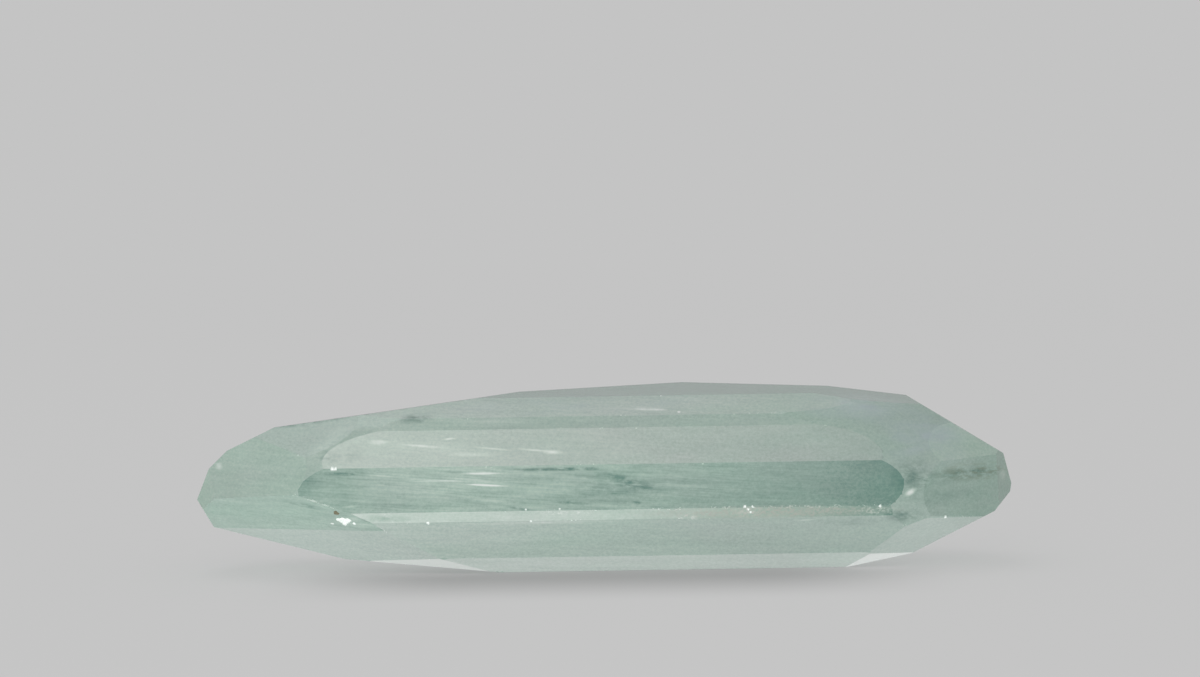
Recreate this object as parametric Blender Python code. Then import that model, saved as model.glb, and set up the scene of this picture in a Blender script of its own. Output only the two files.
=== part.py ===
"""One sapphire: a long, hand-cut stone of pale sea green, lying on a flat facet.

The stone starts as a rounded blank, a straight barrel with two rounded ends, and flat facets
are ground on it.  Where a long facet runs out on the round of the blank it ends in a curve, so
the long facets have round ends, and the tips are closed by short, steep facets.

The frame is in metres with +Z up.  +X runs along the stone, the front is at -Y, and the facet
that the stone rests on lies at z = 0 with the origin under the middle of the stone.  Shapes are
worked out in millimetres and brought to metres at the end.
"""

import math

import bmesh
import bpy
from mathutils import Vector

METRES_PER_MM = 0.001

# Driving dimensions, in millimetres.
REST_DEPTH = 3.75  # from the middle of the stone down to the facet that it rests on
BARREL_DEPTH = 4.40  # half of the blank from front to back
BARREL_TOP = 4.36  # the blank's height above the middle
BARREL_UNDERSIDE = 4.36  # the blank's depth below the middle
STRAIGHT_LEFT = 8.00  # where the barrel starts to round off, left of the middle
STRAIGHT_RIGHT = 8.78
ROUND_LEFT = 11.9  # how long each rounded end would be, if no facet cut it short
ROUND_RIGHT = 9.5
SHOULDER_LEFT = 6.5  # beyond these the top of the blank falls away
SHOULDER_RIGHT = 5.3
SHOULDER_SLOPE = 0.07  # how far it falls in each millimetre

# How finely the blank is divided.
SIDES_AROUND = 112
RINGS_ALONG = 128

# Each facet is (turn, lean, depth).  Turn is in degrees round the length of the stone: 0 faces
# the front, 90 up, 180 the back and -90 down.  Lean is how many degrees the facet then faces
# towards the right end, or the left end where it is negative.  Depth is its distance in
# millimetres from the middle of the stone.
LONG_FRONT_FACETS = (
    (86.4, 0.0, 3.63),
    (61.7, 0.0, 4.04),
    (35.0, 0.0, 4.31),
    (19.0, 0.0, 4.18),
    (-1.0, 0.0, 4.09),
    (-17.4, 0.0, 4.17),
    (-32.5, 0.0, 4.06),
    (-57.0, 0.0, 4.10),
)
LONG_BACK_FACETS = (
    (150.0, 0.5, 4.20),
    (176.0, -0.5, 4.08),
    (201.0, 0.5, 4.16),
    (228.0, 0.0, 4.10),
    (250.0, 0.5, 4.06),
)
TOP_FACETS = (
    (118.0, -8.8, 3.53),
    (115.5, 7.8, 4.53),
    (84.0, 7.0, 4.74),
    (92.0, 31.7, 9.40),
    (94.0, -7.3, 3.99),
    (93.0, -25.5, 7.91),
)
RIGHT_END_FACETS = (
    (-8.0, 31.6, 10.20),
    (32.0, 26.7, 9.32),
    (-52.0, 17.7, 7.28),
    (-65.6, 10.8, 5.94),
    (-82.0, 11.2, 5.84),
    (-80.5, 26.0, 8.70),
    (-76.5, 50.5, 13.69),
    (-51.5, 79.0, 16.84),
    (74.0, 75.0, 16.35),
    (-4.0, 62.0, 15.31),
    (158.0, 32.0, 10.30),
    (205.0, 32.0, 10.40),
    (176.0, 60.0, 15.20),
)
LEFT_END_FACETS = (
    (45.0, -13.7, 6.44),
    (18.0, -28.5, 9.35),
    (-50.5, -15.4, 5.93),
    (-54.0, -14.2, 5.66),
    (-68.5, -7.1, 4.66),
    (-82.5, -5.8, 4.36),
    (-82.0, -14.6, 5.90),
    (-74.0, -59.0, 14.86),
    (82.0, -68.0, 15.42),
    (90.5, -44.0, 11.80),
    (4.0, -60.0, 14.94),
    (155.0, -29.0, 9.70),
    (202.0, -31.0, 10.30),
    (184.0, -60.0, 14.80),
)
REST_FACET = (-90.0, 0.0, REST_DEPTH)

# Nearer than this a corner lies on a cutting plane, in millimetres.
SMALLEST_STEP = 1e-5
# Nearer than this, two corners of the finished stone are one corner, in millimetres.
SMALLEST_EDGE = 0.02

SAPPHIRE_COLOUR = (0.47, 0.60, 0.53, 1.0)


def clear_scene():
    """Remove every object that the scene starts with."""
    for old in list(bpy.data.objects):
        bpy.data.objects.remove(old, do_unlink=True)


def blank_point(direction):
    """Carry a point of the unit sphere, poles on X, out to the blank.

    Past the straight barrel the section shrinks as an ellipse does, because a unit sphere's
    rings shrink so towards its poles.
    """
    if direction.x < 0:
        x = -STRAIGHT_LEFT + ROUND_LEFT * direction.x
    else:
        x = STRAIGHT_RIGHT + ROUND_RIGHT * direction.x
    height = BARREL_TOP if direction.z > 0 else BARREL_UNDERSIDE
    return Vector((x, BARREL_DEPTH * direction.y, height * direction.z))


def everything(bm):
    """The whole bmesh, as its operators take it."""
    return bm.verts[:] + bm.edges[:] + bm.faces[:]


def drop_shoulders(bm):
    """Let the top of the blank fall away towards both ends, from a ring cut at each shoulder."""
    for x in (-SHOULDER_LEFT, SHOULDER_RIGHT):
        bmesh.ops.bisect_plane(
            bm,
            geom=everything(bm),
            dist=SMALLEST_STEP,
            plane_co=(x, 0.0, 0.0),
            plane_no=(1.0, 0.0, 0.0),
        )
    for vert in bm.verts:
        beyond = max(0.0, vert.co.x - SHOULDER_RIGHT, -SHOULDER_LEFT - vert.co.x)
        if vert.co.z > 0:
            vert.co.z *= 1.0 - SHOULDER_SLOPE * beyond / BARREL_TOP


def make_blank(bm):
    """Fill the bmesh with the rounded blank, its middle at the origin."""
    bmesh.ops.create_uvsphere(bm, u_segments=SIDES_AROUND, v_segments=RINGS_ALONG, radius=1.0)
    for vert in bm.verts:
        poles_on_x = Vector((vert.co.z, vert.co.y, -vert.co.x))
        vert.co = blank_point(poles_on_x)
    drop_shoulders(bm)


def facet_normal(turn, lean):
    """The way a facet faces, from its turn round the stone and its lean to one end."""
    turn = math.radians(turn)
    lean = math.radians(lean)
    across = math.cos(lean)
    return Vector((math.sin(lean), -across * math.cos(turn), across * math.sin(turn)))


def grind(bm, turn, lean, depth):
    """Take away all that stands proud of one flat facet, and close the stone with its face."""
    normal = facet_normal(turn, lean)
    cut = bmesh.ops.bisect_plane(
        bm,
        geom=everything(bm),
        dist=SMALLEST_STEP,
        plane_co=normal * depth,
        plane_no=normal,
        clear_outer=True,
    )
    rim = [item for item in cut["geom_cut"] if isinstance(item, bmesh.types.BMEdge)]
    if rim:
        bmesh.ops.contextual_create(bm, geom=rim)


def cut_stone():
    """Grind every facet on the blank and return the closed bmesh, in millimetres."""
    bm = bmesh.new()
    make_blank(bm)
    groups = (
        LONG_FRONT_FACETS,
        LONG_BACK_FACETS,
        TOP_FACETS,
        RIGHT_END_FACETS,
        LEFT_END_FACETS,
        (REST_FACET,),
    )
    for group in groups:
        for turn, lean, depth in group:
            grind(bm, turn, lean, depth)
    bmesh.ops.remove_doubles(bm, verts=bm.verts, dist=SMALLEST_EDGE)
    bmesh.ops.recalc_face_normals(bm, faces=bm.faces)
    return bm


def middle_of_plan(bm):
    """The middle of the stone's length and of its depth from front to back."""
    xs = [vert.co.x for vert in bm.verts]
    ys = [vert.co.y for vert in bm.verts]
    return (min(xs) + max(xs)) / 2, (min(ys) + max(ys)) / 2


def sapphire_material():
    """Polished, slightly milky sapphire of a pale sea green."""
    material = bpy.data.materials.new("sapphire")
    material.use_nodes = True
    shader = material.node_tree.nodes["Principled BSDF"]
    shader.inputs["Base Color"].default_value = SAPPHIRE_COLOUR
    shader.inputs["Roughness"].default_value = 0.12
    shader.inputs["Metallic"].default_value = 0.0
    shader.inputs["IOR"].default_value = 1.77
    return material


def make_sapphire():
    """Build the stone as one object, resting on its facet with the origin under its middle."""
    bm = cut_stone()
    middle_x, middle_y = middle_of_plan(bm)
    bmesh.ops.translate(bm, vec=(-middle_x, -middle_y, REST_DEPTH), verts=bm.verts)
    bmesh.ops.scale(bm, vec=(METRES_PER_MM,) * 3, verts=bm.verts)
    mesh = bpy.data.meshes.new("sapphire")
    bm.to_mesh(mesh)
    bm.free()
    mesh.materials.append(sapphire_material())
    stone = bpy.data.objects.new("sapphire", mesh)
    bpy.context.scene.collection.objects.link(stone)
    return stone


def main():
    clear_scene()
    make_sapphire()


main()
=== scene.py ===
# %% [markdown]
# # A hand-cut sapphire, dressed in Blender
#
# The stone is one long piece of pale sea-green sapphire, slightly milky inside, lying on a flat
# facet.  Its bare solid already comes from the CAD model.  This lesson gives it its looks: a
# surface with true facets, worn edges and chips, a body with silk in it, a floor, soft light and
# a camera.  Lengths in the cells are in millimetres until they go into Blender.

# %% Load the frame
import math

import bmesh
import bpy
import numpy as np
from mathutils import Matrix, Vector


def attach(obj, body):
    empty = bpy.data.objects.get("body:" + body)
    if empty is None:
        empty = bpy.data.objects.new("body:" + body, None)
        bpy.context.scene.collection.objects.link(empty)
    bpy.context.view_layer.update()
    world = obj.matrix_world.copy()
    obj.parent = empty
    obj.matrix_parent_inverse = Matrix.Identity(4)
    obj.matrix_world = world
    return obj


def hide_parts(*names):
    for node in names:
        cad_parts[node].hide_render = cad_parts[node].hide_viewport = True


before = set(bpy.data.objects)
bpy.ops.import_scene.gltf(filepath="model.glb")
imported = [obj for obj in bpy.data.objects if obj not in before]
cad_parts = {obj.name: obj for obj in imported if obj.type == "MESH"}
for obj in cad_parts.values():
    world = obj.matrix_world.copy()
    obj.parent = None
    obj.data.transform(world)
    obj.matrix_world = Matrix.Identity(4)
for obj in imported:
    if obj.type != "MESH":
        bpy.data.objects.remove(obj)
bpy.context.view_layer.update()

MM = 0.001
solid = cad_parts["sapphire"]

# %% [markdown]
# ## The camera
#
# The stone is looked at from the front, a little from above, through a long lens, so its edges
# stay nearly parallel.  It could be aimed with a constraint, but two plain angles, how far it
# looks down and how far it is rolled, say the same.  In the ZYX order the turn about Z comes
# first, so it is the roll about the line of sight.

# %% Camera
CAMERA_AT = (-0.104, -166.139, 21.456)
LOOKS_DOWN = 4.115
ROLL = 0.9

camera_data = bpy.data.cameras.new("camera")
camera_data.lens = 120.0
camera_data.sensor_width = 36.0
camera_data.clip_start = 0.005
camera_data.clip_end = 20.0
camera = bpy.data.objects.new("camera", camera_data)
bpy.context.scene.collection.objects.link(camera)
camera.location = [c * MM for c in CAMERA_AT]
camera.rotation_mode = "ZYX"
camera.rotation_euler = (math.radians(90.0 - LOOKS_DOWN), 0.0, math.radians(-ROLL))
bpy.context.scene.camera = camera
print("camera at", CAMERA_AT, "mm")

# %% [markdown]
# ## Read the facets off the solid
#
# The solid is a shell of loose triangles.  Triangles that share a plane are one facet, so sorting
# them by plane gives back the facets that the cutter ground.  The facets could be typed in again,
# but then the dressed stone and its solid could drift apart.  Depths are counted from the middle
# of the rounded blank that the stone was ground from.

# %% Planes of the facets
MIDDLE = np.array([-0.10357, -0.05391, 3.75])
SMALLEST_CROSS = 1e-7  # twice the area of a triangle too slim to have a normal, in square mm
SAME_WAY = 0.99999  # the cosine between two normals that are taken as one
SAME_DEPTH = 0.004


def triangle_corners(mesh):
    """The three corners of every triangle, as an (n, 3, 3) array in mm from MIDDLE."""
    points = np.empty(len(mesh.vertices) * 3)
    mesh.vertices.foreach_get("co", points)
    mesh.calc_loop_triangles()
    corners = np.empty(len(mesh.loop_triangles) * 3, np.int32)
    mesh.loop_triangles.foreach_get("vertices", corners)
    return points.reshape(-1, 3)[corners.reshape(-1, 3)] / MM - MIDDLE


def planes_of(triangles):
    """Gather triangles by plane: rows of (area, normal x, y, z, depth), the largest first.

    A triangle's normal is the cross product of two of its sides, and the depth of its plane is
    that normal times any corner.
    """
    cross = np.cross(triangles[:, 1] - triangles[:, 0], triangles[:, 2] - triangles[:, 0])
    length = np.linalg.norm(cross, axis=1)
    real = length > SMALLEST_CROSS
    area = length[real] / 2
    normal = cross[real] / length[real, None]
    depth = (normal * triangles[real, 0]).sum(1)
    waiting = np.ones(len(area), bool)
    planes = []
    while waiting.any():
        seed = np.argmax(np.where(waiting, area, -1.0))
        alike = (normal @ normal[seed] > SAME_WAY) & (abs(depth - depth[seed]) < SAME_DEPTH)
        same = waiting & alike
        share = area[same] / area[same].sum()
        mean = (normal[same] * share[:, None]).sum(0)
        mean /= np.linalg.norm(mean)
        planes.append([area[same].sum(), *mean, (depth[same] * share).sum()])
        waiting &= ~same
    return np.array(sorted(planes, reverse=True))


planes = planes_of(triangle_corners(solid.data))
print(len(planes), "planes in the solid, the largest", round(planes[0, 0], 1), "square mm")

# %% [markdown]
# ## The rounded blank
#
# Between the facets the stone still shows the round of its blank: a straight barrel of oval
# section with a rounded end on each side, whose top falls away beyond two shoulders.  A point is
# inside when its section, measured against the oval, and its reach past the barrel, measured
# against the rounded end, add up to less than one as squares do on a sphere.  The blank could be
# read off the solid too, but there it is made of flats, so its formula is given instead.

# %% Blank
HALF_DEPTH, HALF_HEIGHT = 4.40, 4.36
STRAIGHT_LEFT, STRAIGHT_RIGHT = 8.00, 8.78
ROUND_LEFT, ROUND_RIGHT = 11.9, 9.5
SHOULDER_LEFT, SHOULDER_RIGHT, SHOULDER_SLOPE = 6.5, 5.3, 0.07


def blank_level(x, y, z):
    """Negative inside the blank, zero on it: (y/a)^2 + (z/h)^2 + (past/round)^2 - 1."""
    past_left = np.maximum(-STRAIGHT_LEFT - x, 0.0) / ROUND_LEFT
    past_right = np.maximum(x - STRAIGHT_RIGHT, 0.0) / ROUND_RIGHT
    beyond = np.maximum(np.maximum(x - SHOULDER_RIGHT, -SHOULDER_LEFT - x), 0.0)
    height = np.where(z > 0, HALF_HEIGHT - SHOULDER_SLOPE * beyond, HALF_HEIGHT)
    return (y / HALF_DEPTH) ** 2 + (z / height) ** 2 + past_left**2 + past_right**2 - 1.0


print("barrel", 2 * HALF_DEPTH, "by", 2 * HALF_HEIGHT, "mm in section")

# %% [markdown]
# ## Two parameters over the whole stone
#
# Rays leave a line in the middle of the stone like spokes.  One parameter runs from tip to tip:
# over the middle part it moves the spoke along the line, and over each end it swings the spoke
# from straight out to straight along, as the fan of a scallop.  The other parameter turns the
# spoke round the stone.  The stone has no hollows, so each spoke leaves it exactly once, and the
# surface is a function of the two.  The facets could be cut off a block one by one instead, but
# then they would have no points inside them to carry wear and chips.

# %% Spokes
CORE = 11.6  # half the length of the line that the spokes leave
FAN = 0.19  # the share of the first parameter that each fan takes up
LONGEST_SPOKE = 14.0
HALVINGS = 30
GRAZING = 1e-4  # a spoke that faces a plane less than this runs along it
MISSED = 99.0  # the length that is noted for a spoke that misses


def spokes(along, turn):
    """Start and direction of the spoke for each pair (along from 0 to 1, turn in radians)."""
    left = np.clip(along / FAN, 0.0, 1.0)
    right = np.clip((1.0 - along) / FAN, 0.0, 1.0)
    swing = np.minimum(left, right) * (np.pi / 2)
    side = np.where(along < 0.5, -1.0, 1.0)
    start = np.clip((along - FAN) / (1.0 - 2.0 * FAN), 0.0, 1.0) * 2.0 * CORE - CORE
    x = side * np.cos(swing)
    direction = np.stack([x, -np.sin(swing) * np.cos(turn), np.sin(swing) * np.sin(turn)])
    return np.stack([start, 0.0 * start, 0.0 * start]), direction


def to_blank(start, direction):
    """Length of each spoke up to the blank, by halving the span that holds it again and again."""
    near = np.zeros(start.shape[1:])
    far = np.full(start.shape[1:], LONGEST_SPOKE)
    for _ in range(HALVINGS):
        half = (near + far) / 2
        inside = blank_level(*(start + half * direction)) < 0
        near = np.where(inside, half, near)
        far = np.where(inside, far, half)
    return near


def to_plane(start, direction, normal, depth):
    """Length of each spoke up to a plane: (depth - start.n) / direction.n, where they meet."""
    facing = np.tensordot(normal, direction, 1)
    gap = depth - np.tensordot(normal, start, 1)
    return np.where(facing > GRAZING, gap / np.maximum(facing, GRAZING), MISSED)


def to_ball(start, direction, centre, radius):
    """Length of each spoke up to the near side of a ball: -b - sqrt(b^2 - c).

    b is the gap from the ball's middle to the start times the direction, and c is the gap's
    square less the radius's.
    """
    gap = start - centre[:, None, None]
    half = (gap * direction).sum(0)
    under = half**2 - (gap * gap).sum(0) + radius**2
    meets = (under > 0) & (half < 0)
    return np.where(meets, -half - np.sqrt(np.maximum(under, 0.0)), MISSED)


print("spokes leave a line", 2 * CORE, "mm long")

# %% [markdown]
# ## Which planes are facets
#
# The CAD model's blank is itself made of narrow flats.  They touch the true blank, while a real
# facet is ground into it, so a plane counts as a facet only where it lies clearly inside.  A few
# slim triangles are bent a little out of their facet; a plane within one degree of a larger one
# is such a splinter, and is left out.

# %% Facets
SMALLEST_FACET = 0.05  # square mm
GROUND_IN = 0.01
SPLINTER = math.cos(math.radians(1.0))
SAMPLES = 241


def blank_reach(normal):
    """How far the blank reaches in the direction of a normal, sampled on spokes."""
    return (blank_points @ normal).max()


sample = [np.linspace(0.0, high, SAMPLES) for high in (1.0, 2 * np.pi)]
start, direction = spokes(*np.meshgrid(*sample, indexing="ij"))
blank_points = (start + to_blank(start, direction) * direction).reshape(3, -1).T
facets = np.empty((0, 4))
for area, *plane in planes:
    ground = area > SMALLEST_FACET and plane[3] < blank_reach(plane[:3]) - GROUND_IN
    bent = (facets[:, :3] @ plane[:3] > SPLINTER).any()
    if ground and not bent:
        facets = np.vstack([facets, plane])
print(len(facets), "facets")

# %% [markdown]
# ## Chips out of the edges
#
# The edges have been knocked in places, and shell-shaped flakes have come off.  They could be
# cut with a boolean, but that would break up the grid.  Here each chip is a ball whose middle
# lies outside the stone, and a spoke that meets a ball before a facet ends there.  A chip is
# given by where it sits (mm along the stone, degrees round it), half its width and its depth.

# %% Chips
CHIPS = (
    (-10.63, -21.4, 0.20, 0.11),
    (-10.82, -20.6, 0.11, 0.06),
    (-10.43, -20.0, 0.12, 0.06),
    (-10.58, -24.0, 0.10, 0.06),
    (-11.10, -25.5, 0.06, 0.03),
    (-10.17, -22.1, 0.07, 0.04),
    (-10.98, 12.0, 0.07, 0.03),
    (-10.85, 12.0, 0.06, 0.03),
    (-7.13, -19.8, 0.06, 0.04),
    (-3.13, -12.3, 0.04, 0.02),
    (-2.93, -19.6, 0.05, 0.03),
    (-1.74, -12.2, 0.04, 0.02),
    (5.80, -12.6, 0.06, 0.04),
    (5.93, -14.2, 0.05, 0.03),
    (6.10, -12.7, 0.05, 0.03),
    (6.02, -16.0, 0.05, 0.02),
    (11.30, -13.6, 0.05, 0.03),
    (12.66, -13.7, 0.06, 0.03),
    (14.06, -27.3, 0.06, 0.03),
)


def spoke_end(x, turn):
    """Where the spoke from (x, 0, 0) leaves the stone, its direction and that facet's normal."""
    turn = math.radians(turn)
    start = np.array([x, 0.0, 0.0])
    direction = np.array([0.0, -math.cos(turn), math.sin(turn)])
    reaches = [float(to_plane(start, direction, f[:3], f[3])) for f in facets]
    return start + min(reaches) * direction, direction, facets[np.argmin(reaches), :3]


def scoop(x, turn, half_width, depth):
    """A ball (middle x, y, z and radius) that cuts a scoop of this half width and depth.

    A shallow cap of half width w and depth h belongs to a ball of radius (w^2 + h^2) / 2h.
    """
    end, direction, _ = spoke_end(x, turn)
    radius = (half_width**2 + depth**2) / (2 * depth)
    return [*(end + (radius - depth) * direction), radius]


balls = np.array([scoop(*chip) for chip in CHIPS])
print(len(balls), "chips, radius", balls[:, 3].min().round(2), "to", balls[:, 3].max().round(2))

# %% [markdown]
# ## A grid that is fine where the stone is worn
#
# Evenly spaced lines would waste most of their points on plain flats.  So each parameter gets a
# density: one everywhere, with a bump at every chip and along the chipped edges.  Equal steps of
# the summed density then give lines that crowd together at the bumps.

# %% Grid lines
LINES_ALONG = 440
LINES_ROUND = 205  # the last of them is the first again
CROWD_AT_CHIPS = 2.2
MM_ALONG = 30  # roughly the mm of stone to one unit of the first parameter
FINE_LINES = 20001  # for summing the density
# where (radians round the stone), how wide and how strong
CROWDS_ROUND = ((0.0, 1.5, 0.9), (-0.29, 0.13, 3.0), (0.21, 0.03, 1.5), (0.43, 0.05, 1.0))


def crowded_lines(count, low, high, bumps):
    """Lines from low to high; density is 1 + height * exp(-((x - middle) / width)^2)."""
    fine = np.linspace(low, high, FINE_LINES)
    density = np.ones_like(fine)
    for middle, width, height in bumps:
        density += height * np.exp(-(((fine - middle) / width) ** 2))
    total = np.concatenate([[0.0], np.cumsum((density[1:] + density[:-1]) / 2)])
    return np.interp(np.linspace(0.0, total[-1], count), total, fine)


def along_of(x, reach):
    """The spoke parameter that meets the surface at x, where the stone is that thick."""
    beyond = abs(x) - CORE
    if beyond < 0:
        return FAN + (x + CORE) / (2 * CORE) * (1 - 2 * FAN)
    swing = math.atan2(reach, beyond) / (math.pi / 2) * FAN
    return swing if x < 0 else 1.0 - swing


along_bumps = []
for (x, turn, half_width, depth), ball in zip(CHIPS, balls):
    reach = math.hypot(ball[1], ball[2]) - ball[3]
    along_bumps.append((along_of(x, reach), half_width / MM_ALONG, CROWD_AT_CHIPS))
along_lines = crowded_lines(LINES_ALONG, 0.0, 1.0, along_bumps)
turn_lines = crowded_lines(LINES_ROUND, -np.pi, np.pi, CROWDS_ROUND)[:-1]
print("grid", len(along_lines), "by", len(turn_lines))

# %% [markdown]
# ## How far it is to an edge or a corner
#
# An edge of the stone crosses the grid at a slant, and would come out as a saw.  At each point
# the two cutters (facet or blank) that end the spoke first are compared.  Where their lengths
# are equal there is an edge; where three are equal there is a corner.  One step of Newton's
# method tells how far away that is: the gap between the lengths, divided by how fast the gap
# changes from one grid point to the next.  Every edge could be worked out exactly instead, but
# that takes much more code.

# %% Newton's step
NUDGE = 0.1  # cells
TOO_FAR = 90.0  # a cutter beyond this was missed
NO_STEP = 9.0  # cells; far more than a point may move
NO_SLOPE, NO_CROSSING = 1e-12, 1e-9  # nothing is divided by less than these


def to_cutters(along, turn):
    """Length of every spoke up to every facet, and last up to the blank."""
    start, direction = spokes(along, turn)
    planes = [to_plane(start, direction, f[:3], f[3]) for f in facets]
    return np.stack([*planes, to_blank(start, direction)])


def newton_steps(along, turn, cell_along, cell_turn):
    """Steps, in cells, to the nearest edge and to the nearest corner, for every grid point."""
    lengths = to_cutters(along, turn)
    first = np.argsort(lengths, axis=0)[:3]
    here = np.take_along_axis(lengths, first, 0)
    aside = np.take_along_axis(to_cutters(along + NUDGE * cell_along, turn), first, 0)
    around = np.take_along_axis(to_cutters(along, turn + NUDGE * cell_turn), first, 0)
    gap = here[1:] - here[0]
    slope_a = ((aside[1:] - aside[0]) - gap) / NUDGE
    slope_t = ((around[1:] - around[0]) - gap) / NUDGE
    both = np.maximum(aside, around)
    edge_usable = (here[1] < TOO_FAR) & (both[:2].max(0) < TOO_FAR)
    corner_usable = (here[2] < TOO_FAR) & (both.max(0) < TOO_FAR)
    steep = slope_a[0] ** 2 + slope_t[0] ** 2 + NO_SLOPE
    edge = -gap[0] * np.stack([slope_a[0], slope_t[0]]) / steep
    cross = slope_a[0] * slope_t[1] - slope_a[1] * slope_t[0]
    cross = np.where(abs(cross) < NO_CROSSING, NO_CROSSING, cross)
    corner_a = gap[1] * slope_t[0] - gap[0] * slope_t[1]
    corner_t = gap[0] * slope_a[1] - gap[1] * slope_a[0]
    corner = np.stack([corner_a, corner_t]) / cross
    return np.where(edge_usable, edge, NO_STEP), np.where(corner_usable, corner, NO_STEP)


print("the gap's slope is felt", NUDGE, "cells away")

# %% [markdown]
# ## Snap the grid to the edges
#
# A grid point less than half a cell from a corner moves into the corner, and then one less than
# half a cell from an edge moves on to the edge.  Each is done twice, because Newton's step is
# only nearly right.  The chips are cut afterwards and keep the small steps of the grid, as a
# broken rim does.

# %% Snapping
TO_EDGE, TO_CORNER = 0, 1


def snap(along_lines, turn_lines):
    """The grid's parameters, with the points near an edge or a corner moved on to it."""
    along, turn = np.meshgrid(along_lines, turn_lines, indexing="ij")
    cell_along = np.gradient(along_lines)[:, None]
    cell_turn = np.gradient(turn_lines)[None, :]
    moved = np.zeros((2, *along.shape))
    fixed = np.zeros(along.shape, bool)
    for aim in (TO_CORNER, TO_CORNER, TO_EDGE, TO_EDGE):
        here = (along + moved[0] * cell_along, turn + moved[1] * cell_turn)
        goal = moved + newton_steps(*here, cell_along, cell_turn)[aim]
        near = (abs(goal).max(0) < 0.5) & ~(fixed & (aim == TO_EDGE))
        near[[0, -1]] = False
        moved = np.where(near, goal, moved)
        fixed |= near & (aim == TO_CORNER)
    return along + moved[0] * cell_along, turn + moved[1] * cell_turn


along, turn = snap(along_lines, turn_lines)
start, direction = spokes(along, turn)
lengths = to_cutters(along, turn)
cutter = lengths.argmin(0)
whole = start + lengths.min(0) * direction
scoops = np.stack([to_ball(start, direction, b[:3], b[3]) for b in balls]).min(0)
points = start + np.minimum(lengths.min(0), scoops) * direction
chip_depth = np.maximum(lengths.min(0) - scoops, 0.0)
print("surface worked out at", cutter.size, "points, deepest chip", chip_depth.max().round(3), "mm")

# %% [markdown]
# ## How far each point is from an edge
#
# Polish wears off edges first, so the material needs to know how near an edge is.  On a facet,
# the distance to the line where it meets another plane is the height below that plane divided by
# the sine of the angle between the two.  The smallest of these is kept with each point.
# Blender's Pointiness feels edges too, but it depends on how fine the mesh is, and this mesh is
# not equally fine everywhere.

# %% Edge distance
TINY = 1e-4
FLATTEST = 0.03  # the sine of the smallest angle that counts as an edge
FAR_AWAY = 9.0
FULL_CHIP = 0.01  # a point this deep in a chip, or deeper, is white all through


def surface_normals(points, cutter):
    """Outward normals: the facet's own, or the slope of the blank's level."""
    slope = []
    for axis in range(3):
        shift = np.zeros((3, 1, 1))
        shift[axis] = TINY
        slope.append(blank_level(*(points + shift)) - blank_level(*(points - shift)))
    slope = np.stack(slope)
    slope /= np.linalg.norm(slope, axis=0)
    flat = facets[np.minimum(cutter, len(facets) - 1), :3].transpose(2, 0, 1)
    return np.where(cutter < len(facets), flat, slope)


def edge_distance(points, cutter):
    """Smallest of (depth - n.p) / sin(angle between n and the point's own normal), in mm."""
    normals = surface_normals(points, cutter)
    nearest = np.full(cutter.shape, FAR_AWAY)
    for f in facets:
        height = f[3] - np.tensordot(f[:3], points, 1)
        cosine = np.tensordot(f[:3], normals, 1)
        sine = np.sqrt(np.maximum(1.0 - cosine**2, 0.0))
        away = np.where(sine > FLATTEST, height / np.maximum(sine, FLATTEST), FAR_AWAY)
        nearest = np.minimum(nearest, np.maximum(away, 0.0))
    return nearest


from_edge = edge_distance(whole, cutter)
chipped = np.clip(chip_depth / FULL_CHIP, 0.0, 1.0)
print("points in chips:", int((chipped > 0).sum()))

# %% [markdown]
# ## A look for each facet
#
# Each facet has its own even tone with a crisp border, and the long ones change slowly along the
# stone.  These tones are partly the milk inside and partly painted light and shade: each facet's
# tone and greenness also stand in for the light that it mirrors and lets through, so that the
# thin slivers underneath are pale.  A value kept with the points would smear over the border, so
# the looks are kept with the faces.  A face belongs to the facet whose plane its middle lies
# nearest to; the rest is the round of the blank.  A facet is named by its turn round the stone
# and its lean towards an end, in degrees.

# %% Facet looks
# turn, lean, milkiness with painted light and shade (at the left, in the middle and at the right,
# or once where it is even), greenness with painted light and shade, how fibrous
LOOKS = (
    (86.4, 0.0, 0.19, 0.17, 0.17, 0.0, 0.3),
    (61.7, 0.0, 0.38, 0.52, 0.47, -0.5, 0.6),
    (35.0, 0.0, 0.53, 0.41, 0.44, -0.2, 0.5),
    (19.0, 0.0, 0.50, 0.28, 0.25, -0.5, 0.5),
    (-1.0, 0.0, 0.29, 0.35, -0.01, 0.4, 2.1),
    (-17.4, 0.0, 0.76, 0.70, 0.08, 0.4, 0.8),
    (-32.5, 0.0, 0.55, 0.48, 0.38, -0.5, 0.5),
    (-57.0, 0.0, 0.62, 0.65, 0.60, -0.9, 0.4),
    (84.0, 7.0, 0.24, -0.3, 0.3),
    (94.0, -7.3, 0.02, 0.12, 0.25, 0.0, 0.3),
    (45.0, -13.7, 0.34, -0.2, 0.4),
    (18.0, -28.5, 0.48, 0.3, 0.8),
    (4.0, -60.0, 0.50, 0.9, 0.8),
    (-74.0, -59.0, 0.50, 0.4, 1.0),
    (-50.5, -15.4, 0.38, 0.2, 1.2),
    (-54.0, -14.2, 0.52, -1.1, 0.4),
    (-68.5, -7.1, 1.04, -1.0, 0.2),
    (-8.0, 31.6, 0.38, 0.36, 0.33, 0.2, 0.6),
    (-4.0, 62.0, 0.36, 0.4, 0.8),
    (32.0, 26.7, 0.51, 0.4, 0.4),
    (-52.0, 17.7, 0.50, -1.1, 0.4),
    (-65.6, 10.8, 1.25, -0.8, 0.2),
    (92.0, 31.7, 0.18, 0.0, 0.2),
)
PLAIN = (0.41, 0.40, 0.37, -0.1, 0.5)
NAMED_WAY = 0.9995  # the cosine between a facet's normal and the one that a row names
ON_FACET = 0.004  # a face's middle this near to a plane lies on it
LOOK_AT = 12.0  # the left and right values hold this far from the middle
LOOK_LIMIT = 1.3  # and a look stays the same beyond this many times that far


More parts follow.
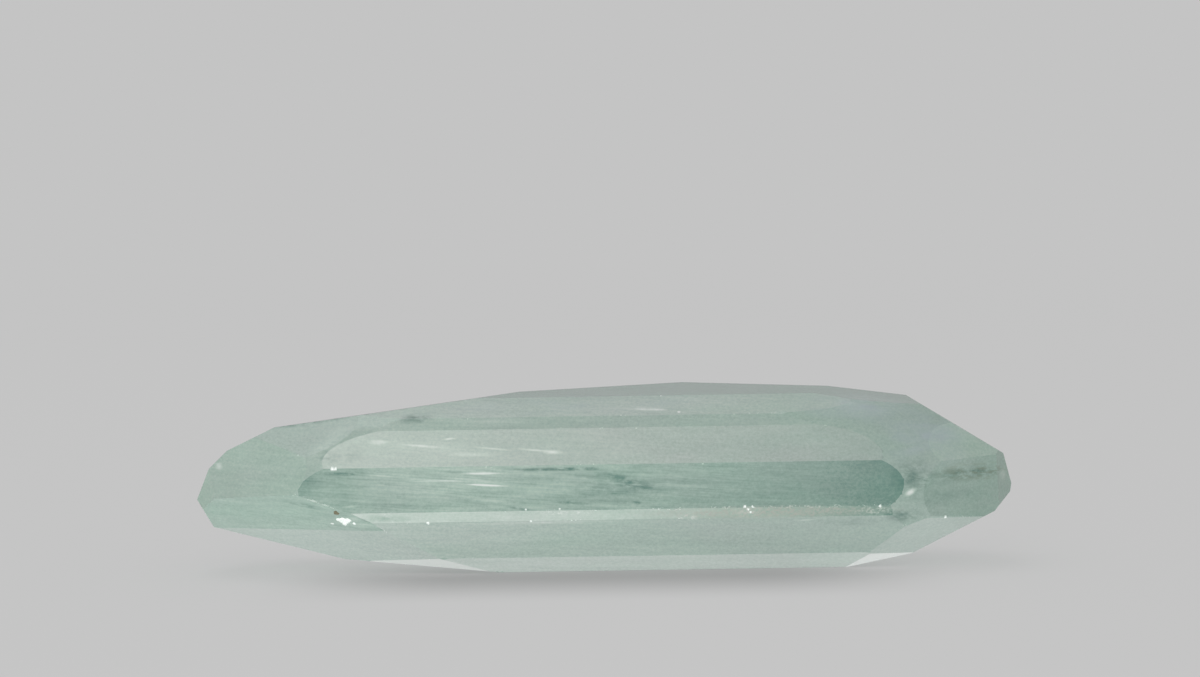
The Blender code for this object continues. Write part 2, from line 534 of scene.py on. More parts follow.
def facet_direction(turn, lean):
    """Outward normal of a facet that is turned round the stone and leans towards an end."""
    turn, lean = math.radians(turn), math.radians(lean)
    across = math.cos(lean)
    return np.array([math.sin(lean), -across * math.cos(turn), across * math.sin(turn)])


def look_of_facets():
    """The five numbers of every facet; the last row is for the round of the blank."""
    table = np.tile(PLAIN, (len(facets) + 1, 1))
    for turn, lean, *milk_and_painted_light, green, fibrous in LOOKS:
        alike = facets[:, :3] @ facet_direction(turn, lean)
        if alike.max() > NAMED_WAY:
            table[alike.argmax()] = (*(milk_and_painted_light * 3)[:3], green, fibrous)
        else:
            print("no facet at", turn, lean)
    return table


def face_looks(points, triangles):
    """Milkiness and greenness, both partly painted light and shade, and fibres of every face.

    The milkiness is the parabola through its values at the left, in the middle and at the right.
    """
    middle = points.reshape(3, -1)[:, triangles].mean(2)
    height = facets[:, 3:] - facets[:, :3] @ middle
    nearest = height.argmin(0)
    on_facet = np.take_along_axis(height, nearest[None], 0)[0] < ON_FACET
    look = look_of_facets()[np.where(on_facet, nearest, len(facets))]
    s = np.clip(middle[0] / LOOK_AT, -LOOK_LIMIT, LOOK_LIMIT)
    left, centre, right = look[:, 0], look[:, 1], look[:, 2]
    milk_and_painted_light = centre + (right - left) / 2 * s + ((right + left) / 2 - centre) * s**2
    return milk_and_painted_light, look[:, 3], look[:, 4]


print(len(LOOKS), "facets have a look of their own")

# %% [markdown]
# ## From a grid to triangles
#
# Neighbouring grid points make four-sided cells, and the last column joins the first.  Each cell
# is split along the diagonal that stands further out, which is the one that follows an edge of a
# stone without hollows; a cell left whole would be split without regard to that.  All the points
# of the first and the last line are one tip each.

# %% Triangles
def cell_corners(points):
    """The point numbers of every cell's four corners, going round the cell."""
    number = np.arange(points[0].size).reshape(points.shape[1:])
    near, far = number[:-1], number[1:]
    return near, far, np.roll(far, -1, axis=1), np.roll(near, -1, axis=1)


def split_cells(points):
    """Triangles that face outward, as an (n, 3) array of point numbers."""
    a, b, c, d = cell_corners(points)
    flat = points.reshape(3, -1)
    middle_ac = (flat[:, a] + flat[:, c]) / 2
    middle_bd = (flat[:, b] + flat[:, d]) / 2
    out = np.cross(flat[:, c] - flat[:, a], flat[:, d] - flat[:, b], axis=0)
    use_ac = ((middle_ac - middle_bd) * out).sum(0) > 0
    one = np.where(use_ac, np.stack([a, b, c]), np.stack([a, b, d])).reshape(3, -1)
    two = np.where(use_ac, np.stack([a, c, d]), np.stack([b, c, d])).reshape(3, -1)
    return np.concatenate([one, two], axis=1).T


triangles = split_cells(points)
milk_and_painted_light, greenness_and_painted_light, fibrous = face_looks(whole, triangles)
print(len(triangles), "triangles before doubles are merged")

# %% [markdown]
# ## From triangles to the stone
#
# One helper makes a mesh object of any grid: it puts the points into Blender, keeps the numbers
# that the material needs with them, merges the doubles at the tips and turns the faces outward.
# The stone is shaded smooth, with every edge sharper than 4 degrees kept crisp.  That is more
# than the small bend from triangle to triangle on the round of the blank, and less than the bend
# from facet to facet.

# %% Stone
DOUBLES = 0.0008  # points nearer than this, in mm, are one point
CRISP = 4.0  # degrees


def make_piece(name, points, triangles, attributes=()):
    """A mesh object from points in mm about MIDDLE, doubles merged and normals outward.

    Each attribute is (title, domain, values), one value for every point or for every face.
    """
    mesh = bpy.data.meshes.new(name)
    vertices = (points.reshape(3, -1).T + MIDDLE) * MM
    mesh.from_pydata(vertices.tolist(), [], triangles.tolist())
    for title, domain, values in attributes:
        layer = mesh.attributes.new(title, "FLOAT", domain)
        layer.data.foreach_set("value", np.asarray(values, np.float32).ravel())
    shape = bmesh.new()
    shape.from_mesh(mesh)
    bmesh.ops.remove_doubles(shape, verts=shape.verts, dist=DOUBLES * MM)
    bmesh.ops.dissolve_degenerate(shape, edges=shape.edges, dist=DOUBLES * MM)
    bmesh.ops.recalc_face_normals(shape, faces=shape.faces)
    shape.to_mesh(mesh)
    shape.free()
    piece = bpy.data.objects.new(name, mesh)
    bpy.context.scene.collection.objects.link(piece)
    return piece


# the milk and greenness kept with the faces are partly painted light and shade of each facet
stone = make_piece(
    "cut_stone",
    points,
    triangles,
    (
        ("from_edge", "POINT", from_edge),
        ("chipped", "POINT", chipped),
        ("milk_and_painted_light", "FACE", milk_and_painted_light),
        ("greenness_and_painted_light", "FACE", greenness_and_painted_light),
        ("fibrous", "FACE", fibrous),
    ),
)
stone.data.shade_smooth()
stone.data.set_sharp_from_angle(angle=math.radians(CRISP))
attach(stone, "root")
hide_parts("sapphire")
print("cut_stone:", len(stone.data.polygons), "faces")

# %% [markdown]
# ## Helpers for numbers
#
# A finish in Blender is a tree of nodes joined by links.  Most of the nodes here are plain sums
# and products.  They could be laid out by hand, but that fills pages, so a few helpers make
# them; each returns the socket that its result comes out of.

# %% Number nodes
def new_material(name, piece):
    """Gives the piece a material; returns its empty tree and its output."""
    material = bpy.data.materials.new(name)
    material.use_nodes = True
    piece.data.materials.append(material)
    tree = material.node_tree
    tree.nodes.clear()
    return tree, tree.nodes.new("ShaderNodeOutputMaterial")


def feed(node, *values, **titled):
    """Give a node's inputs values, in turn or by title with _ for a space.

    Each value is a constant, or the socket of another node, which is linked.
    """
    goals = [node.inputs[title.replace("_", " ")] for title in titled]
    for goal, value in [*zip(node.inputs, values), *zip(goals, titled.values())]:
        if isinstance(value, bpy.types.NodeSocket):
            node.id_data.links.new(value, goal)
        else:
            goal.default_value = value


def reckon(tree, operation, *numbers):
    """The result of one Math node; each number is a socket or a plain number."""
    node = tree.nodes.new("ShaderNodeMath")
    node.operation = operation
    feed(node, *numbers)
    return node.outputs[0]


def sum_of(tree, terms, start=0.0):
    """start plus the sum of socket * weight over (socket, weight) pairs; returns a socket."""
    total = start
    for socket, weight in terms:
        total = reckon(tree, "MULTIPLY_ADD", socket, weight, total)
    return total


def times(tree, one, other):
    """The product of two sockets."""
    return reckon(tree, "MULTIPLY", one, other)


print("ready: new_material, feed, reckon, sum_of, times")

# %% [markdown]
# ## Helpers for places
#
# A finish has to know where on the stone it is.  It could read an unwrapped map, but Object
# coordinates are simpler: they are fixed to the piece, so the finish moves with it.  One helper
# brings them to a place, and the other makes a smooth slope between two numbers.

# %% Place nodes
def placed(tree, at=(0.0, 0.0, 0.0), size=(1.0, 1.0, 1.0), turn=0.0):
    """Object coordinates from a point, turned in the front plane and divided by a size.

    The point is given in mm from the stone's middle, the size in mm, the turn in degrees.
    """
    coordinates = tree.nodes.new("ShaderNodeTexCoord")
    mapping = tree.nodes.new("ShaderNodeMapping")
    mapping.vector_type = "TEXTURE"
    location = [(a + m) * MM for a, m in zip(at, MIDDLE)]
    rotation = (0.0, -math.radians(turn), 0.0)
    feed(mapping, coordinates.outputs["Object"], location, rotation, [s * MM for s in size])
    return mapping.outputs["Vector"]


def step(tree, value, low, high):
    """0 below low, 1 above high and a smooth slope between; low may be the larger one."""
    node = tree.nodes.new("ShaderNodeMapRange")
    node.interpolation_type = "SMOOTHSTEP"
    feed(node, value, min(low, high), max(low, high))
    if low > high:
        feed(node, To_Min=1.0, To_Max=0.0)
    return node.outputs["Result"]


print("places are counted from", MIDDLE, "mm")

# %% [markdown]
# ## Floor
#
# The stone lies on a plain pale floor, a sheet just under it.  It could be a square; a disc is
# used because it ends equally far away on every side.

# %% Floor
FLOOR_RADIUS = 900.0
FLOOR_Z = -0.02


def disc(radius, z, rings=24, sides=96):
    """A round sheet; ring k lies at radius * (k / (rings - 1))^2, so they crowd in the middle."""
    out = radius * np.linspace(0.0, 1.0, rings)[:, None] ** 2
    around = np.linspace(0.0, 2 * np.pi, sides, endpoint=False)[None, :]
    x = out * np.cos(around)
    y = out * np.sin(around)
    return np.stack([x, y, np.full(x.shape, z)])


def cells_of(points):
    """Four-sided cells as an (n, 4) array of point numbers."""
    a, b, c, d = cell_corners(points)
    return np.stack([a, d, c, b], axis=-1).reshape(-1, 4)


floor_points = disc(FLOOR_RADIUS, FLOOR_Z) - MIDDLE[:, None, None]
floor = make_piece("floor", floor_points, cells_of(floor_points))
if floor.data.polygons[0].normal.z < 0:
    floor.data.flip_normals()
print("floor:", len(floor.data.polygons), "faces,", FLOOR_RADIUS, "mm in radius")

# %% [markdown]
# ## Grey surroundings
#
# Even grey light comes from all round, and the same grey shows behind the stone.  It could be a
# big lit dome, but the scene's world does the same with one colour, and the Standard view
# transform shows that colour as it is.

# %% Surroundings
SURROUNDINGS = 0.552


def grey(tone):
    """A plain grey as red, green, blue and one for opaque."""
    return (tone, tone, tone, 1.0)


scene = bpy.context.scene
scene.view_settings.view_transform = "Standard"
world = bpy.data.worlds.new("surroundings")
world.use_nodes = True
feed(world.node_tree.nodes["Background"], grey(SURROUNDINGS))
scene.world = world
print("surroundings of grey", SURROUNDINGS)

# %% [markdown]
# ## A floor that glows a little
#
# The floor glows like a light table, which keeps the stone's shadow soft.  Under and round the
# stone the glow sinks to six tenths: that is a painted shadow, which draws the dark patch the
# stone lies in.  A floor with a visible far edge would draw a line behind the stone, so the floor
# fades into the surroundings with its distance from the stone.

# %% Floor finish
FLOOR_TINT = 0.20
FLOOR_GLOW = 0.412
FADE_FROM = 70.0
FADE_TO = 250.0
# the painted shadow under the stone: its middle and half size in mm, and the share of glow left in
# it
PAINTED_SHADOW_AT = (0.2, -3.5, 0.0)
PAINTED_SHADOW_HALF = (14.8, 7.6, 1.0)
PAINTED_SHADOW_GLOW = 0.60

tree, output = new_material("floor", floor)
# painted shadow: a patch of dimmer glow under and round the stone
painted_shadow_place = tree.nodes.new("ShaderNodeSeparateXYZ")
feed(painted_shadow_place, placed(tree, PAINTED_SHADOW_AT, PAINTED_SHADOW_HALF))
painted_shadow = times(
    tree,
    step(tree, reckon(tree, "ABSOLUTE", painted_shadow_place.outputs["X"]), 1.0, 0.40),
    step(tree, reckon(tree, "ABSOLUTE", painted_shadow_place.outputs["Y"]), 1.0, 0.0),
)
matt = tree.nodes.new("ShaderNodeBsdfDiffuse")
feed(matt, grey(FLOOR_TINT))
glow = tree.nodes.new("ShaderNodeEmission")
strength = sum_of(tree, ((painted_shadow, PAINTED_SHADOW_GLOW - 1.0),), start=1.0)
feed(glow, grey(FLOOR_GLOW), strength)
lit = tree.nodes.new("ShaderNodeAddShader")
feed(lit, matt.outputs[0], glow.outputs[0])
distance = tree.nodes.new("ShaderNodeVectorMath")
distance.operation = "LENGTH"
feed(distance, placed(tree))
see_through = tree.nodes.new("ShaderNodeBsdfTransparent")
blend = tree.nodes.new("ShaderNodeMixShader")
far = step(tree, distance.outputs["Value"], FADE_FROM, FADE_TO)
feed(blend, far, lit.outputs[0], see_through.outputs[0])
feed(output, Surface=blend.outputs[0])
print("floor fades out between", FADE_FROM, "and", FADE_TO, "mm")

# %% [markdown]
# ## Soft light
#
# A big soft box hangs over the stone.  A second one, a little warmer, stands in front and above,
# and a low wide strip in front fills the facets that turn under.  The light table shines on the
# same facets from below.  A lamp under the floor would be shut out by it, so this one casts no
# shadows; it isn't seen in mirror images or through the stone either, where it would look like a
# lamp in mid air.  Small lamps would draw sharp glints and a hard shadow, so all four are large.

# %% Lights
AIM = Vector((0.0, 0.0, 0.004))  # in metres; about half the stone's height


def soft_box(name, at, size, brightness, tint=(1.0, 1.0, 1.0)):
    """A rectangular lamp aimed at the stone; its power is brightness * pi * its area."""
    lamp = bpy.data.lights.new(name, "AREA")
    lamp.shape = "RECTANGLE"
    lamp.size, lamp.size_y = (side * MM for side in size)
    lamp.energy = brightness * math.pi * lamp.size * lamp.size_y
    lamp.color = tint
    light = bpy.data.objects.new(name, lamp)
    bpy.context.scene.collection.objects.link(light)
    light.location = [c * MM for c in at]
    light.rotation_euler = (AIM - light.location).to_track_quat("-Z", "Y").to_euler()
    return light


soft_box("front box", (-35.0, -257.0, 158.0), (130.0, 70.0), 1.8, (1.0, 0.95, 0.90))
soft_box("top box", (-80.0, 50.0, 380.0), (300.0, 260.0), 1.0)
fill = soft_box("low fill", (-60.0, -230.0, 12.0), (220.0, 24.0), 12.0)
fill.visible_transmission = False
table = soft_box("light table", (-20.0, -35.0, -170.0), (200.0, 200.0), 1.8)
table.data.use_shadow = False
table.visible_glossy = False
table.visible_transmission = False
print("four soft boxes")

# %% [markdown]
# ## Helpers for patterns
#
# Clouds in a stone have no plan, so they come from noise.  The special places, such as one veil
# or one stain, need a patch at a given spot; a lens shape with a soft rim is the simplest.  And
# edges and facets differ, so the finish reads numbers that the mesh keeps for points and faces.

# %% Pattern nodes
def attribute(tree, title):
    """The number that the mesh keeps under this title."""
    node = tree.nodes.new("ShaderNodeAttribute")
    node.attribute_name = title
    return node.outputs["Fac"]


def noise(tree, size, detail=3.0, at=(0.0, 0.0, 0.0), turn=0.0, rough=0.5):
    """Noise whose lumps have this size in mm along x, y and z; about -0.5 to 0.5."""
    node = tree.nodes.new("ShaderNodeTexNoise")
    vector = placed(tree, at, size, turn)
    feed(node, Vector=vector, Scale=1.0, Detail=detail, Roughness=rough)
    return sum_of(tree, ((node.outputs["Fac"], 1.0),), start=-0.5)


def lens(tree, at, half, turn=0.0, edge=0.2):
    """1 in the middle of a lens with these half sizes in mm, falling to 0 at its rim."""
    length = tree.nodes.new("ShaderNodeVectorMath")
    length.operation = "LENGTH"
    feed(length, placed(tree, at, half, turn))
    return step(tree, length.outputs["Value"], 1.0, edge)


print("ready: attribute, noise, lens")

# %% [markdown]
# ## How milky the stone is
#
# Light that goes into a milky place comes back pale; in a clear place one looks into the dark.
# The milk could be a volume that scatters light, but that is slow and doesn't travel to other
# programs, while a base colour does.
#
# So one number says how milky each place is, with painted light and shade in it: the facet's
# own value, which is partly painted light and shade, plus silk, plus clouds, plus a fine grain.
# Silk is a felt of fine needles; in a sapphire it lies in straight bundles, here along the stone.
# It is made of three noises.  Two of them are stretched to about twenty times their height and lie
# a few degrees apart, so that they fan out.

# %% Milkiness
tree, output = new_material("sapphire", stone)
silk = sum_of(
    tree,
    (
        (noise(tree, (3.6, 0.6, 0.17), detail=5.0, turn=-2.0), 0.50),
        (noise(tree, (1.7, 0.5, 0.07), detail=4.0, at=(3.0, 1.0, 2.0), turn=-5.0), 0.42),
        (noise(tree, (0.9, 0.4, 0.30), detail=5.0, at=(9.0, 4.0, 7.0), rough=0.6), 0.30),
    ),
)
silky_half = lens(tree, (-4.0, 0.0, 0.0), (17.0, 30.0, 30.0), edge=0.3)
# each face's own milk, which is partly painted light and shade of its facet
own_milk_and_painted_light = attribute(tree, "milk_and_painted_light")
own_silk = times(tree, times(tree, silk, attribute(tree, "fibrous")), silky_half)
clouds = noise(tree, (5.0, 2.5, 1.0))
grain = noise(tree, (0.13, 0.13, 0.10), detail=3.0, rough=0.8)
milkiness_and_painted_light = sum_of(
    tree, ((own_milk_and_painted_light, 1.0), (own_silk, 0.42), (silk, 0.10), (clouds, 0.14), (grain, 0.45))
)
print("milkiness:", len(tree.nodes), "nodes so far")

# %% [markdown]
# ## Veils, smudges and feathers
#
# Some clouds are special to this stone: veils of milk, bright feathers and clear places where one
# looks into the dark.  The feathers are painted highlights: they stand for light that a healed
# crack mirrors, painted in as extra milk.  The patches could be painted into an image, but a
# short table of lens-shaped patches is easier to change and stays sharp at any size.

# %% Places of the veils
# middle x and z, half length, half height, turn in degrees, how much milk or painted highlight it
# adds
VEILS_AND_PAINTED_GLINTS = (
    (-4.95, 0.62, 1.10, 0.07, -1.0, 0.85),
    (-4.75, 0.14, 1.05, 0.06, -4.0, 0.95),
    (-6.60, 0.34, 1.50, 0.06, 0.0, 0.28),
    (-4.60, -0.50, 1.10, 0.13, -4.0, 0.30),
    (-9.20, 0.60, 1.50, 0.06, -6.0, 0.20),
    (-6.60, 0.10, 3.60, 1.00, 0.0, 0.07),
    (-4.90, 0.50, 2.40, 0.50, -2.0, 0.13),
    (-11.2, 1.90, 1.70, 0.45, 38.0, 0.13),
    (-4.60, 2.66, 3.50, 0.24, 0.0, 0.08),
    (11.0, 3.00, 2.60, 0.70, -6.0, 0.10),
    (-10.1, -1.20, 0.70, 0.30, 0.0, 0.12),
    (-9.90, -1.48, 1.00, 0.24, 0.0, 0.14),
    (-3.00, -1.44, 4.50, 0.12, 0.0, 0.14),
    (-7.00, 1.70, 3.50, 0.36, -4.0, 0.09),
    (-9.10, 1.92, 0.55, 0.15, 0.0, 0.40),
    (-7.40, 1.76, 1.20, 0.07, -5.0, 0.38),
    (-6.20, 2.02, 0.35, 0.06, 5.0, 0.40),
    (-5.30, 1.40, 1.40, 0.14, -2.0, 0.26),
    (-4.40, 1.60, 1.10, 0.06, -6.0, 0.32),
    (-2.75, 1.52, 1.00, 0.06, -5.0, 0.40),
    (-2.00, 1.43, 0.55, 0.13, -2.0, 0.42),
    (1.50, 3.07, 1.70, 0.10, -1.0, 0.26),
    (2.00, 3.03, 0.90, 0.07, -2.0, 1.00),
    (3.18, 2.92, 0.09, 0.05, 0.0, 0.90),
    (8.30, -1.52, 0.55, 0.05, 1.0, 0.34),
    (-10.3, -0.66, 0.45, 0.07, 2.0, 0.34),
    (12.55, -0.42, 0.34, 0.18, 30.0, 0.75),
    (16.60, 0.00, 0.28, 0.45, 0.0, 0.48),
    (-15.8, 0.87, 0.25, 0.25, 0.0, 0.50),
)
# the same, and how much milk is missing
CLEARINGS = (
    (-7.60, 2.82, 0.90, 0.26, 4.0, 0.34),
    (1.10, 0.18, 1.60, 0.34, -17.0, 0.22),
    (-1.40, -0.62, 1.00, 0.15, -6.0, 0.26),
    (-3.40, -0.84, 0.80, 0.10, -10.0, 0.22),
    (1.40, -0.68, 0.26, 0.12, 0.0, 0.30),
    (0.30, 0.00, 3.20, 0.80, -6.0, 0.13),
    (-1.70, 0.75, 3.20, 0.11, 0.0, 0.38),
    (-12.2, -0.60, 1.10, 0.14, -12.0, 0.24),
    (-8.90, -1.20, 1.50, 0.24, 0.0, 0.18),
    (-10.6, 1.38, 1.50, 0.50, 8.0, 0.14),
    (-10.4, 0.70, 1.40, 0.14, 0.0, 0.26),
    (12.6, 0.25, 1.10, 1.00, 0.0, 0.18),
    (10.2, -1.62, 1.90, 0.40, 0.0, 0.06),
    (-11.9, 2.68, 2.40, 0.13, 8.5, 0.26),
    (15.3, 0.20, 1.60, 0.28, -2.0, 0.25),
    (14.0, 0.12, 2.40, 0.50, 4.0, 0.11),
    (12.3, -1.42, 1.00, 0.42, 0.0, 0.22),
    (14.0, -0.70, 2.50, 0.55, 0.0, 0.08),
)
print(len(VEILS_AND_PAINTED_GLINTS), "veils and", len(CLEARINGS), "clear places")

# %% [markdown]
# ## Lay the veils on the stone
#
# All the patches lie in the front of the stone.  The silk runs through the veils and the painted
# highlights of the feathers, so that they fray into fibres, and coarser blotches break up the
# clear places.
#
# One more patch darkens the left end of the widest facet and stops at that facet's edges.  It is
# masked by how fibrous each face is, because no other facet is as fibrous as this one.

# %% Veils
FRONT = -4.0
HALF_REACH = 5.0  # how far the patches reach to the front and to the back
CLEARER = 1.8  # how much the amounts of the clear places count
FIBROUS_FROM, FIBROUS_TO = 1.3, 1.9  # the mask is shut below the first and open above the second


def patches_of(rows):
    """The sum of lens-shaped patches, each times its amount.

    The renderer has room for a limited number of values.  The whole material has 60 lenses, and
    65 are too many for it, so a new one has to take the place of another.
    """
    total = 0.0
    for x, z, half_length, half_height, turn, amount in rows:
        half = (half_length, HALF_REACH, half_height)
        patch = lens(tree, (x, FRONT, z), half, turn, edge=0.0)
        total = reckon(tree, "MULTIPLY_ADD", patch, amount, total)
    return total


frayed = sum_of(tree, ((silk, 2.6),), start=1.0)
blotches = noise(tree, (0.55, 0.5, 0.22), detail=4.0, at=(4.0, 4.0, 4.0), turn=-8.0, rough=0.6)
blotchy = sum_of(tree, ((blotches, 5.0),), start=0.9)
# veils of milk, with the painted highlights of the bright feathers among them
veils_and_painted_glints = times(tree, patches_of(VEILS_AND_PAINTED_GLINTS), frayed)
clearings = times(tree, patches_of(CLEARINGS), step(tree, blotchy, -0.2, 1.6))
end_of_table = times(
    tree,
    lens(tree, (-12.3, FRONT, 0.45), (1.3, HALF_REACH, 1.6), edge=0.0),
    step(tree, attribute(tree, "fibrous"), FIBROUS_FROM, FIBROUS_TO),
)
milkiness_and_painted_light = sum_of(
    tree, ((veils_and_painted_glints, 1.0), (clearings, -CLEARER), (end_of_table, -0.17), (milkiness_and_painted_light, 1.0))
)
print("with the veils:", len(tree.nodes), "nodes")

# %% [markdown]
# ## Worn edges
#
# The polish has worn through along the edges: they carry a broken line of white grains.  It
# shows most along the right part of the narrow bevel under the widest facet, and round that
# facet's lower left end.  The line comes from the distance to the nearest edge, and small noise
# breaks it up.  Here and there the grains spread over the bevel as scuffs.  All this could be
# modelled as tiny pits, but at this size colour is enough.

# %% Wear
near_edge = step(tree, attribute(tree, "from_edge"), 0.10, 0.01)
crumbs = noise(tree, (0.16, 0.16, 0.10), detail=3.0, rough=0.7)
stretches = noise(tree, (1.6, 1.0, 1.0), detail=2.0, at=(5.0, 0.0, 0.0))
bevel = lens(tree, (6.0, -3.9, -0.80), (9.0, 1.2, 0.40), 0.0, edge=0.5)
left_rim = lens(tree, (-12.1, -3.95, -0.46), (1.7, 1.2, 0.32), -15.0, edge=0.4)
favoured = sum_of(tree, ((crumbs, 1.0), (stretches, 0.6), (bevel, 0.12), (left_rim, 0.23)))
grains = step(tree, favoured, 0.17, 0.30)
worn = times(tree, near_edge, grains)
# as for the veils, and how strong
SCUFFS = (
    (11.1, -1.16, 1.10, 0.30, 0.0, 0.7),
    (5.90, -1.10, 0.80, 0.32, 0.0, 1.0),
    (3.50, -1.30, 0.50, 0.22, 0.0, 0.8),
    (-1.60, -1.05, 1.60, 0.12, 0.0, 0.5),
)
scuffed = times(tree, patches_of(SCUFFS), step(tree, crumbs, -0.03, 0.12))
milkiness_and_painted_light = sum_of(tree, ((worn, 0.32), (scuffed, 0.75), (milkiness_and_painted_light, 1.0)))
print(len(SCUFFS), "scuffs")

# %% [markdown]
# ## Helpers for colours
#
# A ramp turns a number into a colour, and a mix lays one colour over another.  Plain sums could
# do that too, but on a ramp each tone can be set by eye.

# %% Colour nodes
def ramp(tree, factor, stops):
    """A colour ramp through (position, colour) stops."""
    node = tree.nodes.new("ShaderNodeValToRGB")
    elements = node.color_ramp.elements
    while len(elements) < len(stops):
        elements.new(0.5)
    for element, (position, colour) in zip(elements, stops):
        element.position = position
        element.color = (*colour, 1.0)
    feed(node, factor)
    return node.outputs["Color"]


def mix_colour(tree, factor, under, over):
    """under where factor is 0, over where it is 1; each is a socket or a plain colour."""
    node = tree.nodes.new("ShaderNodeMix")
    node.data_type = "RGBA"
    node.clamp_factor = True
    feed(node, factor)
    for socket, colour in ((node.inputs[6], under), (node.inputs[7], over)):
        if isinstance(colour, tuple):
            socket.default_value = (*colour, 1.0)
        else:
            tree.links.new(colour, socket)
    return node.outputs[2]


print("ready: ramp, mix_colour")

# %% [markdown]
# ## Body colour
#
# What moves along the colour ramps is the milkiness, and with it the painted light and shade of
# the facets and the painted highlights of the feathers.  There are two ramps, one green and one
# greyish.  Each place is mixed between them by its facet's greenness, which is partly painted
# light and shade, and by noise, because iron and titanium are spread unevenly through the crystal
# and stain some parts of it more than others.  One colour mixed with white would be simpler, but
# on the ramps each tone can be set on its own.  Milkiness 0 falls on the second stop of a ramp and
# 1 on the fourth; the outer stops are for clear places and veils that go beyond.

# %% Body colour
START = 0.12  # where milkiness 0 lies on the ramps
SCALE = 0.70  # how far from there milkiness 1 lies
GREEN = (
    (0.0, (0.060, 0.215, 0.165)),
    (START, (0.130, 0.285, 0.228)),
    (START + 0.5 * SCALE, (0.465, 0.630, 0.535)),
    (START + SCALE, (0.870, 0.955, 0.895)),
    (1.0, (0.950, 0.985, 0.965)),
)
GREY = (
    (0.0, (0.125, 0.195, 0.175)),
    (START, (0.200, 0.270, 0.250)),
    (START + 0.5 * SCALE, (0.520, 0.596, 0.560)),
    (START + SCALE, (0.920, 0.940, 0.925)),
    (1.0, (0.975, 0.980, 0.975)),
)
# the painted light and shade of the facets and feathers goes into the colour here, with the milk
factor = sum_of(tree, ((milkiness_and_painted_light, SCALE),), start=START)
zoning = noise(tree, (4.0, 2.0, 1.2), at=(2.0, 8.0, 1.0))
# the greenness of each face is partly painted light and shade; the zoning noise is the stone's own
green_share = sum_of(tree, ((attribute(tree, "greenness_and_painted_light"), 0.5), (zoning, 0.9)), start=0.5)
body = mix_colour(tree, green_share, ramp(tree, factor, GREY), ramp(tree, factor, GREEN))
print("ramps of", len(GREY), "and", len(GREEN), "colours")

# %% [markdown]
# ## Stains and colour zones
#
# Four things are laid over the body colour.  A rusty stain makes the right part of the bevel a
# warm grey.  Three hazy zones are lilac: a crystal takes up other traces of metal from one time
# to the next, so its colour comes in zones.  A smoky brown streak runs into the right tip.  The
# chips are white, because a broken face is rough and its tiny splinters sparkle; they are too
# small to make, so the chips glow a little instead.

# %% Stains and zones
RUST = (0.56, 0.54, 0.49)
LILAC = (0.47, 0.54, 0.60)
SMOKE = (0.21, 0.27, 0.19)
CHIP_WHITE = (0.98, 0.985, 0.97)
GLINT = (0.9, 1.0, 0.95)
# as for the veils, and how strong
LILAC_ZONES = (
    (13.2, 1.70, 2.40, 1.50, 0.0, 1.00),
    (10.6, 3.00, 3.40, 0.80, -5.0, 0.90),
    (-1.0, 3.30, 9.00, 0.55, 0.0, 0.40),
)
rust = times(
    tree,
    lens(tree, (6.8, -4.0, -1.15), (6.5, 1.0, 0.34), 0.0, edge=0.3),
    step(tree, crumbs, -0.25, 0.30),
)
body = mix_colour(tree, rust, body, RUST)
haze = noise(tree, (1.6, 1.0, 0.6), detail=3.0, at=(7.0, 1.0, 3.0))
lilac = times(tree, patches_of(LILAC_ZONES), step(tree, haze, -0.25, 0.25))
body = mix_colour(tree, lilac, body, LILAC)
smoke = times(
    tree,
    lens(tree, (15.4, -3.0, 0.22), (2.3, 5.0, 0.50), -2.0, edge=0.0),
    step(tree, sum_of(tree, ((silk, 1.0), (blotches, 0.8))), -0.12, 0.12),
)
body = mix_colour(tree, smoke, body, SMOKE)
body = mix_colour(tree, attribute(tree, "chipped"), body, CHIP_WHITE)
glint = mix_colour(tree, attribute(tree, "chipped"), (0.0, 0.0, 0.0), GLINT)
print(len(LILAC_ZONES), "lilac zones")

# %% [markdown]
# ## The polished stone
#
# The finish is a polished skin over the milky body.  Part of the light goes through, bent by
# sapphire's IOR of 1.77, and the inside takes out red first; the rest is scattered back by the
# milk, whose colour is the base colour, with the painted light and shade of the facets in it.  If
# everything went through, the stone would look like clear glass, so it is only about a third.  The
# polish is a little uneven, and duller where the edges are worn.  Inside the chips a bump stands
# for splinters too small to model.

# %% Sapphire
POLISH = 0.17  # roughness of a good place
SPLINTERS = 0.08
INSIDE = (0.62, 0.90, 0.78, 1.0)

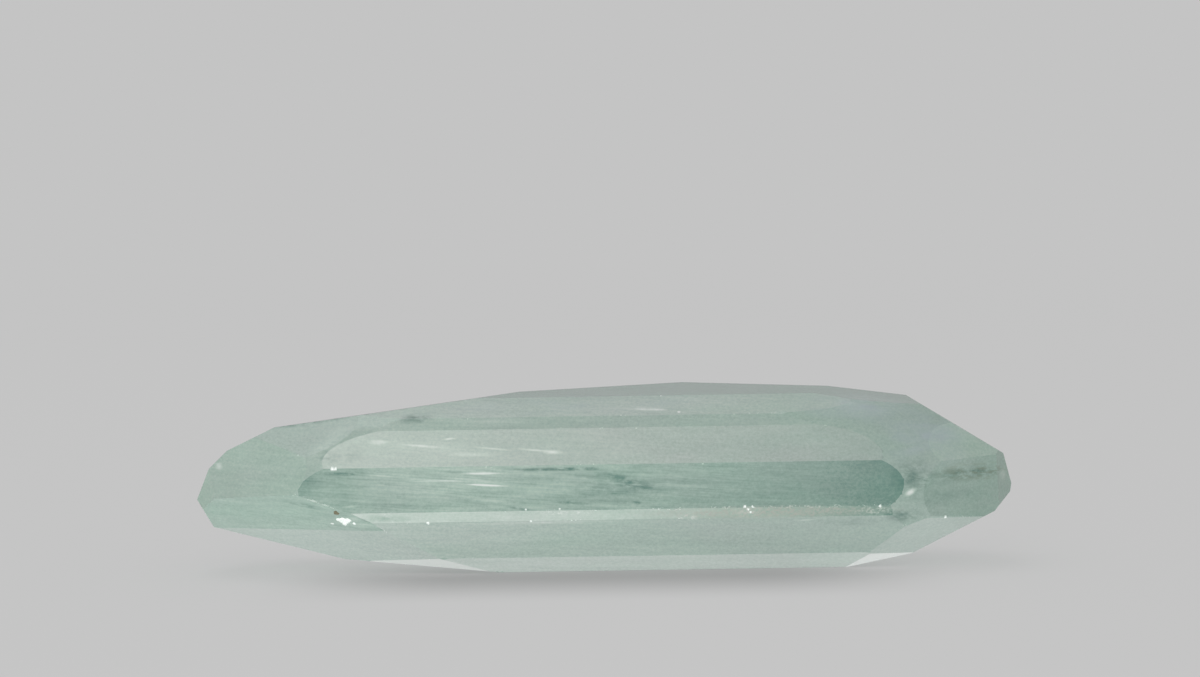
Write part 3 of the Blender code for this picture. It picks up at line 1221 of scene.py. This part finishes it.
shader = tree.nodes.new("ShaderNodeBsdfPrincipled")
feed(shader, Base_Color=body, IOR=1.77, Transmission_Weight=0.35)
roughness = sum_of(tree, ((noise(tree, (2.0, 1.0, 0.4)), 0.10), (worn, 0.25)), start=POLISH)
feed(shader, Roughness=roughness)
splinters = times(tree, attribute(tree, "chipped"), noise(tree, (0.07, 0.07, 0.05), detail=2.0))
feed(shader, Emission_Color=glint, Emission_Strength=0.35)
bump = tree.nodes.new("ShaderNodeBump")
feed(bump, Strength=1.0, Distance=SPLINTERS * MM, Height=splinters)
feed(shader, Normal=bump.outputs["Normal"])
absorption = tree.nodes.new("ShaderNodeVolumeAbsorption")
feed(absorption, INSIDE, 40.0)
feed(output, Surface=shader.outputs[0], Volume=absorption.outputs[0])
print("sapphire material:", len(tree.nodes), "nodes")

# %% [markdown]
# ## A brown speck
#
# A grain of another mineral sits in a facet near the left end, cut and polished with the stone.
# It could be a spot of colour, but it is another mineral, so it is a piece of its own: a ball
# whose radius is changed a little by waves round it, pressed flat along the facet, so that it is
# as good as flush.

# %% Speck
def lump(middle, outward, half_along, half_down, half_thick, rings=25, sides=48):
    """A ball times (1 + waves), stretched to its half sizes along, down and out of a facet."""
    v = np.linspace(0.0, np.pi, rings)[:, None]
    u = np.linspace(0.0, 2 * np.pi, sides, endpoint=False)[None, :]
    wave = 1.0 + np.sin(v) * (0.12 * np.cos(3 * u + 0.6) + 0.07 * np.cos(5 * u - 1.0))
    sideways = half_along * wave * np.sin(v) * np.cos(u)
    downhill = half_down * wave * np.sin(v) * np.sin(u)
    proud = half_thick * np.cos(v) + 0.0 * u
    down = np.cross(outward, [1.0, 0.0, 0.0])
    down /= np.linalg.norm(down)
    along = np.cross(down, outward)
    axes = np.stack([along, down, outward], axis=1)
    return middle[:, None, None] + np.tensordot(axes, np.stack([sideways, downhill, proud]), 1)


SPECK_X = -10.87
SPECK_TURN = -13.7  # of the spoke that ends in it, in degrees
SPECK_HALF = (0.12, 0.14, 0.02)

speck_at, _, outward = spoke_end(SPECK_X, SPECK_TURN)
speck_points = lump(speck_at, outward, *SPECK_HALF)
speck = make_piece("brown_speck", speck_points, cells_of(speck_points))
speck.data.shade_smooth()
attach(speck, "root")
tree, output = new_material("brown_speck", speck)
shader = tree.nodes.new("ShaderNodeBsdfPrincipled")
dirt = sum_of(tree, ((noise(tree, (0.06, 0.06, 0.06)), 1.0),), start=0.5)
brown = ramp(tree, dirt, ((0.2, (0.085, 0.080, 0.048)), (0.8, (0.25, 0.23, 0.145))))
feed(shader, Base_Color=brown, Roughness=0.4)
feed(output, Surface=shader.outputs[0])
print("speck:", len(speck.data.polygons), "faces")
